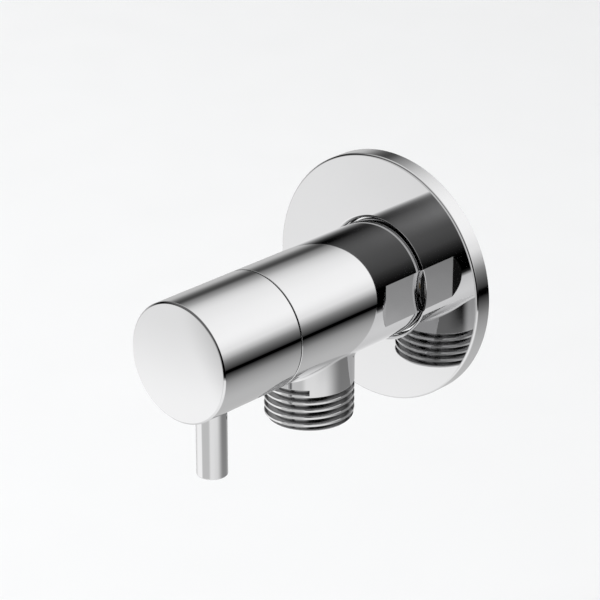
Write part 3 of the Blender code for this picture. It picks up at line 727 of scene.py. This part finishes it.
class ANGLEVALVE_OT_valve_body(bpy.types.Operator):
    """Model the one-piece body: barrel, spanner flats, outlet neck, both threads and the waterway"""
    bl_idname = "anglevalve.valve_body"
    bl_label = "Valve Body"

    def execute(self, context):
        body = settings().body
        front = BODY_LOW.y
        piece = turned("valve_shell", [
            (body.radius - REAR_CHAMFER, BODY_REAR), (body.radius, BODY_REAR - REAR_CHAMFER),
            (body.radius, front),
        ])
        round_off(piece, [on_ring(body.radius, front)], SEAM_EDGE, 5)
        cut(piece, neck_form(body), "UNION")
        cut(piece, fillet_form(body), "UNION")
        cut(piece, shank_form(body), "UNION")
        for side in (1, -1):
            cut(piece, flat_cutter(body, side))
        self.hollow(piece, body)
        polish(piece, [round_surface(body.radius), round_surface(THREAD_RADIUS, ALONG_Z, OUTLET_AXIS),
                       round_surface(THREAD_RADIUS),
                       flat_surface(Vector((1, 0, 0)), body.flat_offset),
                       flat_surface(Vector((-1, 0, 0)), body.flat_offset)])
        bright = chrome("body_chrome", [("Y", front, 0.0006), ("Y", BODY_REAR, 0.0009)])
        # the last two finishes carry painted shade: darker thread grooves and a near-black joint
        hand_over(piece, "valve", "valve_body", "chrome", bright,
                  machined("bore_brass", settings().finish.brass, 0.22, 0.42),
                  thread_chrome("thread_chrome"), painted_gap_shade("joint_film"))
        self.bare_bores(piece)
        self.dull_grooves_and_paint_shade(piece)
        return {"FINISHED"}

    @staticmethod
    def hollow(piece, body):
        """Bores the waterway from the wall end to the headwork's socket, and the outlet into it."""
        front, rear = BODY_LOW.y, BODY_HIGH.y
        recess = front + RECESS_DEPTH
        cut(piece, turned("waterway", [
            (STRAINER_BORE + MOUTH_CHAMFER + SPARE, rear + SPARE), (STRAINER_BORE, rear - MOUTH_CHAMFER),
            (STRAINER_BORE, STRAINER_STEP), (INLET_BORE, STRAINER_STEP), (INLET_BORE, CHAMBER_SEAT),
            (CHAMBER_RADIUS, CHAMBER_SEAT), (CHAMBER_RADIUS, HEADWORK_SEAT),
            (HEADWORK_BORE, HEADWORK_SEAT), (HEADWORK_BORE, recess), (RECESS_RADIUS, recess),
            (RECESS_RADIUS, front - SPARE),
        ], segments=COARSE))
        end = BODY_LOW.z
        cut(piece, turned("outlet_bore", [
            (OUTLET_BORE, -body.radius / 2 + SPARE), (OUTLET_BORE, end + MOUTH_CHAMFER),
            (OUTLET_BORE + MOUTH_CHAMFER + SPARE, end - SPARE),
        ], ALONG_Z, OUTLET_AXIS, COARSE))

    @staticmethod
    def bare_bores(piece):
        """The plating stops at the bores' mouths."""
        rear, end = BODY_HIGH.y - MOUTH_CHAMFER, BODY_LOW.z + MOUTH_CHAMFER
        for face in piece.data.polygons:
            spot = face.center
            from_barrel = Vector((spot.x, 0, spot.z)).length
            from_outlet = Vector((spot.x, spot.y - OUTLET_Y, 0)).length
            in_barrel = from_barrel < BARE_RADIUS and BODY_LOW.y < spot.y < rear and spot.z > BARE_FLOOR
            in_shank = spot.y > BODY_REAR + SAME_PLACE
            in_bore = from_barrel < SHANK_BARE if in_shank else in_barrel
            in_outlet = from_outlet < OUTLET_BORE + SAME_PLACE and end < spot.z < OUTLET_BORE_TOP
            face.material_index = BARE if in_bore or in_outlet else PLATED

    @staticmethod
    def dull_grooves_and_paint_shade(piece):
        """The threads' grooves are duller than their crests and darkened with painted shade, and the
        joint's faces get near-black painted shade.
        """
        groove = THREAD_RADIUS - CREST_EDGE
        end = BODY_LOW.z
        joint = BODY_LOW.y + RECESS_DEPTH + SAME_PLACE
        joint_radius = settings().body.radius - SEAM_EDGE
        for face in piece.data.polygons:
            spot = face.center
            from_barrel = Vector((spot.x, 0, spot.z)).length
            from_outlet = Vector((spot.x, spot.y - OUTLET_Y, 0)).length
            on_branch = end + SAME_PLACE < spot.z < THREAD_TOP
            on_shank = INLET_THREAD_REAR < spot.y < BODY_HIGH.y - SAME_PLACE
            branch_groove = on_branch and GROOVE_FLOOR < from_outlet < groove
            shank_groove = on_shank and GROOVE_FLOOR < from_barrel < groove
            # thread grooves: dull plating with painted shade
            if branch_groove or shank_groove:
                face.material_index = DULL_SHADED
            # the joint's faces get near-black painted shade
            elif spot.y < joint and from_barrel < joint_radius:
                face.material_index = GAP_SHADE


class ANGLEVALVE_OT_handle_knob(bpy.types.Operator):
    """Turn the knob with its domed face, hollow skirt and the lever's socket"""
    bl_idname = "anglevalve.handle_knob"
    bl_label = "Handle Knob"

    def execute(self, context):
        handle, radius = settings().handle, settings().body.radius
        rear, tip = KNOB_HIGH.y, KNOB_LOW.y
        rim = tip + handle.dome
        face = radius - handle.chamfer
        ball_radius = (face ** 2 + handle.dome ** 2) / (2 * handle.dome)
        ball = Vector((0, tip + ball_radius, 0))
        rings = 12
        dome = []
        for index in range(1, rings + 1):
            out = face * index / rings
            dome.append((out, ball.y - math.sqrt(ball_radius ** 2 - out ** 2)))
        piece = turned("turning_knob", [
            *dome, (radius, rim + handle.chamfer),
            (radius, rear), (handle.skirt, rear),
            (handle.skirt, KNOB_WEB), (KNOB_HUB, KNOB_WEB), (KNOB_HUB, KNOB_HUB_END),
        ])
        round_off(piece, [on_ring(face, rim), on_ring(radius, rim + handle.chamfer)], 0.00006, 3)
        round_off(piece, [on_ring(radius, rear)], SEAM_EDGE, 5)
        seat = LEVER_HIGH.x + GAP
        hole = handle.stud + GAP
        cut(piece, turned("lever_socket", [
            (seat, -radius - SPARE), (seat, SOCKET_FLOOR), (hole, SOCKET_FLOOR),
            (hole, -KNOB_HUB + SPARE),
        ], ALONG_Z, LEVER_AXIS, MEDIUM))
        polish(piece, [round_surface(radius), dome_surface(ball, ball_radius)])
        bright = chrome("knob_chrome", [("Y", rim, 0.0008), ("Y", rear, 0.0006)], 1.6)
        # the second finish is near-black painted shade inside the knob's skirt and on its rear face at the
        # joint
        hand_over(piece, "handle", "handle_knob", "chrome", bright, painted_gap_shade("skirt_film"))
        for face in piece.data.polygons:
            spot = face.center
            away = Vector((spot.x, 0, spot.z)).length
            face.material_index = int(spot.y > KNOB_WEB - SAME_PLACE and away < radius - SEAM_EDGE)
        return {"FINISHED"}


class ANGLEVALVE_OT_lever_pin(bpy.types.Operator):
    """Turn the pin lever with its rounded end and the stud that screws into the knob"""
    bl_idname = "anglevalve.lever_pin"
    bl_label = "Lever Pin"

    def execute(self, context):
        handle = settings().handle
        radius, end = LEVER_HIGH.x, LEVER_LOW.z
        piece = turned("pin_lever", [
            (handle.stud - STUD_CHAMFER, STUD_TOP), (handle.stud, STUD_TOP - STUD_CHAMFER),
            (handle.stud, LEVER_SHOULDER), (radius, LEVER_SHOULDER), (radius, end),
        ], ALONG_Z, LEVER_AXIS, MEDIUM)
        round_off(piece, [on_ring(radius, end, ALONG_Z, LEVER_AXIS)], handle.lever_edge, 8)
        polish(piece, [round_surface(radius, ALONG_Z, LEVER_AXIS), flat_surface(ALONG_Z, end)])
        bright = chrome("lever_chrome", [("Z", end, 0.0008)])
        hand_over(piece, "handle", "lever_pin", "chrome", bright)
        return {"FINISHED"}


class ANGLEVALVE_OT_inner_finishes(bpy.types.Operator):
    """Give the headwork, seals, discs and fixings their own machined, moulded and lapped finishes"""
    bl_idname = "anglevalve.inner_finishes"
    bl_label = "Inner Finishes"

    def execute(self, context):
        finish = settings().finish
        made = {
            "brass": machined("headwork_brass", finish.brass, 0.20, 0.38),
            "stainless": machined("fixing_stainless", finish.stainless, 0.18, 0.34, "Y"),
            "rubber": sealing_rubber("seal_rubber"),
            "ceramic": lapped_ceramic("disc_ceramic"),
            "white_plastic": moulded_plastic("bush_plastic"),
        }
        groups = {
            "brass": ("headwork_housing", "spindle"),
            "stainless": ("inlet_strainer", "retaining_clip", "grub_screw", "adapter_screw"),
            "rubber": ("housing_o_ring", "disc_seal", "spindle_o_ring_inner", "spindle_o_ring_outer",
                       "flange_o_ring"),
            "ceramic": ("fixed_ceramic_disc", "rotating_ceramic_disc"),
            "white_plastic": ("slip_washer", "glide_ring", "spline_adapter"),
        }
        for slot, names in groups.items():
            for name in names:
                node = frame["nodes"][name]
                for place in node.material_slots:
                    place.material = made[slot]
        return {"FINISHED"}


# ------------------------------------------------------------------ studio
# What the chrome mirrors: each side's light, as (height on the unit sphere, brightness). The steps were
# fitted to reflections measured on a real valve, so they aren't a designed studio.
WALLS = {
    "front_left": ((-1.0, 0.80), (-0.70, 0.80), (-0.50, 0.97), (-0.34, 0.81), (-0.20, 0.76), (0.0, 0.38),
                   (0.15, 0.11), (0.30, 0.0), (0.40, 0.0), (0.65, 0.11), (1.0, 0.16)),
    "front_right": ((-1.0, 0.85), (-0.65, 0.89), (-0.45, 0.79), (-0.41, 0.74), (-0.385, 0.42),
                    (-0.37, 0.30), (-0.33, 0.02), (0.20, 0.008), (0.45, 0.07), (1.0, 0.16)),
    "right": ((-1.0, 0.85), (-0.45, 0.72), (-0.41, 0.68), (-0.39, 0.03), (-0.35, 0.0), (0.2, 0.0),
              (1.0, 0.5)),
    "rear_right": ((-1.0, 0.50), (-0.70, 0.47), (-0.45, 0.26), (-0.27, 0.02), (-0.18, 0.03), (0.04, 0.29),
                   (0.19, 0.71), (0.30, 0.86), (0.50, 0.97), (1.0, 0.85)),
    "rear_left": ((-1.0, 0.50), (-0.40, 0.43), (0.05, 0.45), (0.20, 0.23), (0.35, 0.07), (0.46, 0.16),
                  (0.60, 0.46), (0.72, 0.82), (1.0, 0.85)),
}
STRAIGHT_AHEAD = 0.54    # fitted brightness of the camera's side, straight in front of the knob


def studio_world(studio):
    world = bpy.data.worlds.new("soft_studio")
    bpy.context.scene.world = world
    world.use_nodes = True
    nodes, links = world.node_tree.nodes, world.node_tree.links
    nodes.clear()
    direction = nodes.new("ShaderNodeSeparateXYZ")
    links.new(nodes.new("ShaderNodeTexCoord").outputs["Generated"], direction.inputs[0])
    height = nodes.new("ShaderNodeMapRange")
    height.inputs["From Min"].default_value = -1.0
    links.new(direction.outputs["Z"], height.inputs["Value"])

    def panel(stops):
        ramp = nodes.new("ShaderNodeValToRGB")
        ramp.color_ramp.interpolation = "CARDINAL"
        marks = ramp.color_ramp.elements
        while len(marks) < len(stops):
            marks.new(0.5)
        for mark, (at, grey) in zip(marks, stops):
            mark.position = (at + 1) / 2
            mark.color = (grey, grey, grey, 1.0)
        links.new(height.outputs[0], ramp.inputs[0])
        return ramp.outputs[0]

    def fade(axis, start, end):
        node = nodes.new("ShaderNodeMapRange")
        node.interpolation_type = "SMOOTHSTEP"
        node.inputs["From Min"].default_value = start
        node.inputs["From Max"].default_value = end
        links.new(direction.outputs[axis], node.inputs["Value"])
        return node.outputs[0]

    def mixed(share, first, second):
        node = nodes.new("ShaderNodeMix")
        node.data_type = "RGBA"
        links.new(share, node.inputs["Factor"])
        for value, socket in ((first, node.inputs[6]), (second, node.inputs[7])):
            if isinstance(value, bpy.types.NodeSocket):
                links.new(value, socket)
            else:
                socket.default_value = value
        return node.outputs[2]

    ahead = (STRAIGHT_AHEAD, STRAIGHT_AHEAD, STRAIGHT_AHEAD, 1.0)
    front_left = mixed(fade("Y", -0.70, -0.80), panel(WALLS["front_left"]), ahead)
    front_right = mixed(fade("Y", -0.74, -0.86), panel(WALLS["front_right"]), ahead)
    near_right = mixed(fade("Y", -0.60, -0.20), front_right, panel(WALLS["right"]))
    left = mixed(fade("Y", -0.35, 0.65), front_left, panel(WALLS["rear_left"]))
    right = mixed(fade("Y", -0.20, 0.60), near_right, panel(WALLS["rear_right"]))
    around = mixed(fade("X", -0.25, 0.25), left, right)

    mirrored = nodes.new("ShaderNodeBackground")
    links.new(around, mirrored.inputs["Color"])
    mirrored.inputs["Strength"].default_value = studio.sky_gain
    seen = nodes.new("ShaderNodeBackground")
    seen.inputs["Color"].default_value = (*studio.backdrop, 1.0)
    choice = nodes.new("ShaderNodeMixShader")
    links.new(nodes.new("ShaderNodeLightPath").outputs["Is Camera Ray"], choice.inputs[0])
    links.new(mirrored.outputs[0], choice.inputs[1])
    links.new(seen.outputs[0], choice.inputs[2])
    links.new(choice.outputs[0], nodes.new("ShaderNodeOutputWorld").inputs[0])


class ANGLEVALVE_OT_stage(bpy.types.Operator):
    """Set up the pale floor, the soft studio light and the camera"""
    bl_idname = "anglevalve.stage"
    bl_label = "Stage"

    def execute(self, context):
        studio = settings().studio
        scene = context.scene
        scene.view_settings.view_transform = "Standard"
        self.floor(studio)
        self.key_light(studio)
        self.camera(scene)
        studio_world(studio)
        return {"FINISHED"}

    @staticmethod
    def floor(studio):
        deselect()
        height = CAD_BOUNDS[0].z - studio.floor_drop
        bpy.ops.mesh.primitive_plane_add(size=12.0, location=(0, 0, height))
        floor = bpy.context.object
        floor.name = "pale_floor"
        made = Finish("floor_paint", (0.88, 0.885, 0.89), 0.7)
        made.shades(made.noise(3.0, 3.0), 0.995, 1.005)
        made.rough(made.spread(made.noise(40.0), 0.62, 0.78))
        floor.data.materials.append(made.material)
        floor.visible_glossy = False
        floor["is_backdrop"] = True

    @staticmethod
    def key_light(studio):
        deselect()
        bpy.ops.object.light_add(type="AREA", location=(-0.9, -1.1, 2.2))
        lamp = bpy.context.object
        lamp.name = "soft_key"
        lamp.data.energy = studio.key_power
        lamp.data.size = 1.8
        lamp.rotation_euler = (-Vector(lamp.location)).to_track_quat("-Z", "Y").to_euler()
        lamp.visible_glossy = False

    @staticmethod
    def camera(scene):
        deselect()
        position = Vector((0.3527, -0.4275, 0.2228))
        target = Vector((-0.0150, -0.01447, -0.00675))
        bpy.ops.object.camera_add(location=position)
        camera = bpy.context.object
        camera.name = "studio_camera"
        camera.rotation_euler = (target - position).to_track_quat("-Z", "Y").to_euler()
        camera.data.lens = 152.24
        camera.data.sensor_width = 36.0
        scene.camera = camera


class ANGLEVALVE_PT_sidebar(bpy.types.Panel):
    """Lists the pieces and their sizes"""
    bl_idname = "ANGLEVALVE_PT_sidebar"
    bl_label = "Angle Stop Valve"
    bl_space_type = "VIEW_3D"
    bl_region_type = "UI"
    bl_category = "Angle Valve"

    def draw(self, context):
        valve = context.scene.angle_valve
        for operator, group in STEPS:
            box = self.layout.box()
            box.operator(operator.bl_idname)
            if group:
                sizes = getattr(valve, group)
                for name in sizes.__annotations__:
                    box.prop(sizes, name)


STEPS = (
    (ANGLEVALVE_OT_cover_plate, "plate"),
    (ANGLEVALVE_OT_valve_body, "body"),
    (ANGLEVALVE_OT_handle_knob, "handle"),
    (ANGLEVALVE_OT_lever_pin, None),
    (ANGLEVALVE_OT_inner_finishes, "finish"),
    (ANGLEVALVE_OT_stage, "studio"),
)
CLASSES = (CoverPlateSettings, BodySettings, HandleSettings, FinishSettings, StudioSettings,
           AngleValveSettings, *(operator for operator, group in STEPS), ANGLEVALVE_PT_sidebar)


def register():
    for each in CLASSES:
        bpy.utils.register_class(each)
    bpy.types.Scene.angle_valve = bpy.props.PointerProperty(type=AngleValveSettings)


def unregister():
    del bpy.types.Scene.angle_valve
    for each in reversed(CLASSES):
        bpy.utils.unregister_class(each)


def main():
    register()
    bpy.ops.anglevalve.cover_plate()
    bpy.ops.anglevalve.valve_body()
    bpy.ops.anglevalve.handle_knob()
    bpy.ops.anglevalve.lever_pin()
    bpy.ops.anglevalve.inner_finishes()
    bpy.ops.anglevalve.stage()
    deselect()
    boxes = {"cad": CAD_BOUNDS, "visual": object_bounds()}
    {name: [list(corner) for corner in box] for name, box in boxes.items()}


if __name__ == "__main__":
    main()
